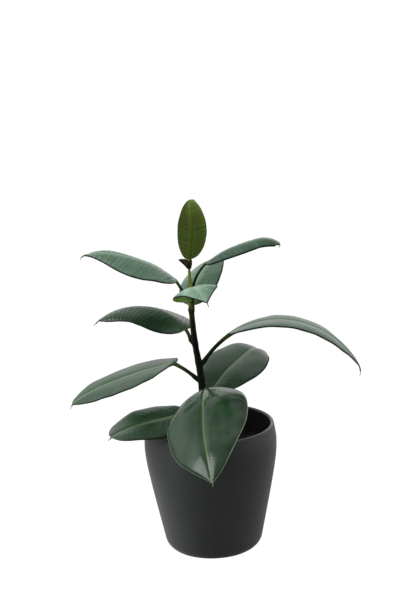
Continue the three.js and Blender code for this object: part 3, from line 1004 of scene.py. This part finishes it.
def make_foliage():
    """All leaves: each has a face of its own green, over shared backs and stalks."""
    pattern = leaf_pattern_group()
    backs = {name: leaf_back(name, pattern) for name in BACKS}
    stalks = {name: stalk_material(name) for name in STALKS}
    # The blades' side faces are dark: partly their own edge colour, partly painted shade.
    rim = rim_material("rim_dark_edge_and_shade", OLD_GREEN["margin"])
    for seed, leaf in enumerate(LEAVES):
        if seed == 0:
            face = leaf_face("young_face", pattern, YOUNG_GREEN, leaf, 0.0)
            materials = [face, backs["young_back"], stalks["stalk_young"], rim]
            make_leaf(leaf, seed, materials)
            continue
        green = {
            part: blend(old, FRESH_GREEN[part], leaf.fresh) for part, old in OLD_GREEN.items()
        }
        # Leaves with any freshness take the dark margin colour for the rim band, painted shade;
        # leaf_front_large keeps the pale rim, a painted highlight.
        if leaf.fresh > 0:
            green["rim"] = green["margin"]
        name = leaf.name.replace("leaf_", "face_")
        face = leaf_face(name, pattern, green, leaf, 1.7 * seed)
        # A freshness over 1 (leaf_front_small) takes the back with painted light shining through.
        back = backs["glow_painted_back" if leaf.fresh > 1 else "leaf_back"]
        make_leaf(leaf, seed, [face, back, stalks["stalk_dark"], rim])


# ==== Stage ===============================================================================


def make_camera():
    data = bpy.data.cameras.new("camera")
    data.sensor_fit = "VERTICAL"
    data.sensor_height = CAMERA_SENSOR
    data.lens = CAMERA_LENS
    data.clip_end = CAMERA_FAR
    camera = add_object("camera", data)
    place = Matrix.Translation(CAMERA_PLACE)
    for turn, axis in CAMERA_TURNS:
        place = place @ Matrix.Rotation(math.radians(turn), 4, axis)
    camera.matrix_world = place
    bpy.context.scene.camera = camera


def make_floor():
    """A wide white sweep, seen as bare white and giving back only part of the light."""
    bm = bmesh.new()
    bmesh.ops.create_circle(bm, cap_ends=True, segments=64, radius=FLOOR_RADIUS)
    mesh = bpy.data.meshes.new("floor")
    bm.to_mesh(mesh)
    bm.free()
    floor = add_object("floor", mesh)
    material, tree, shader = new_material("floor_white")
    tree.feed(shader["Base Color"], (FLOOR_GREY, FLOOR_GREY, FLOOR_GREY))
    shader["Roughness"].default_value = 1
    shader["Specular IOR Level"].default_value = 0
    nodes = material.node_tree.nodes
    white = tree.node("ShaderNodeEmission", {"Color": (1, 1, 1), "Strength": PLAIN_WHITE})
    mixed = tree.node("ShaderNodeMixShader", {
        0: tree.camera_ray(), 1: nodes["Principled BSDF"].outputs[0], 2: white.outputs[0],
    })
    tree.feed(nodes["Material Output"].inputs["Surface"], mixed.outputs[0])
    mesh.materials.append(material)


def make_world():
    """Soft panes of light around the plant, and plain white where it is seen."""
    world = bpy.data.worlds.new("studio")
    bpy.context.scene.world = world
    world.use_nodes = True
    tree = Tree(world.node_tree)
    background = world.node_tree.nodes["Background"]
    toward = tree.node("ShaderNodeTexCoord").outputs["Generated"]
    glow = 0.0
    for heading, height, strength in PANES:
        level, up = polar(1, math.radians(height))
        aim = (*polar(level, math.radians(heading)), up)
        near = tree.node("ShaderNodeVectorMath", {0: toward, 1: aim}, operation="DOT_PRODUCT")
        pane = tree.fit(near.outputs["Value"], PANE_EDGE, PANE_CORE, 0.0, strength)
        glow = tree.calc("ADD", glow, pane)
    shown = tree.node("ShaderNodeMix", {0: tree.camera_ray(), 2: glow, 3: PLAIN_WHITE})
    tree.feed(background.inputs["Color"], (1, 1, 1))
    tree.feed(background.inputs["Strength"], shown.outputs[0])


def make_softbox():
    data = bpy.data.lights.new("left_softbox", "AREA")
    data.shape = "RECTANGLE"
    data.size, data.size_y = SOFTBOX_SIZE
    data.energy = SOFTBOX_POWER
    light = add_object("left_softbox", data)
    light.location = SOFTBOX_PLACE
    aim = Vector(SOFTBOX_TARGET) - Vector(SOFTBOX_PLACE)
    light.rotation_euler = aim.to_track_quat("-Z", "Y").to_euler()


# ==== Putting it together ===================================================================


def main():
    bpy.context.scene.view_settings.view_transform = "Standard"
    make_camera()
    make_floor()
    make_world()
    make_softbox()
    grain = grain_group()
    make_pot(pot_material(grain), bare_material(grain))
    make_soil(soil_material(grain))
    make_stem(stem_material(grain))
    make_sheath(sheath_material())
    make_foliage()


main()
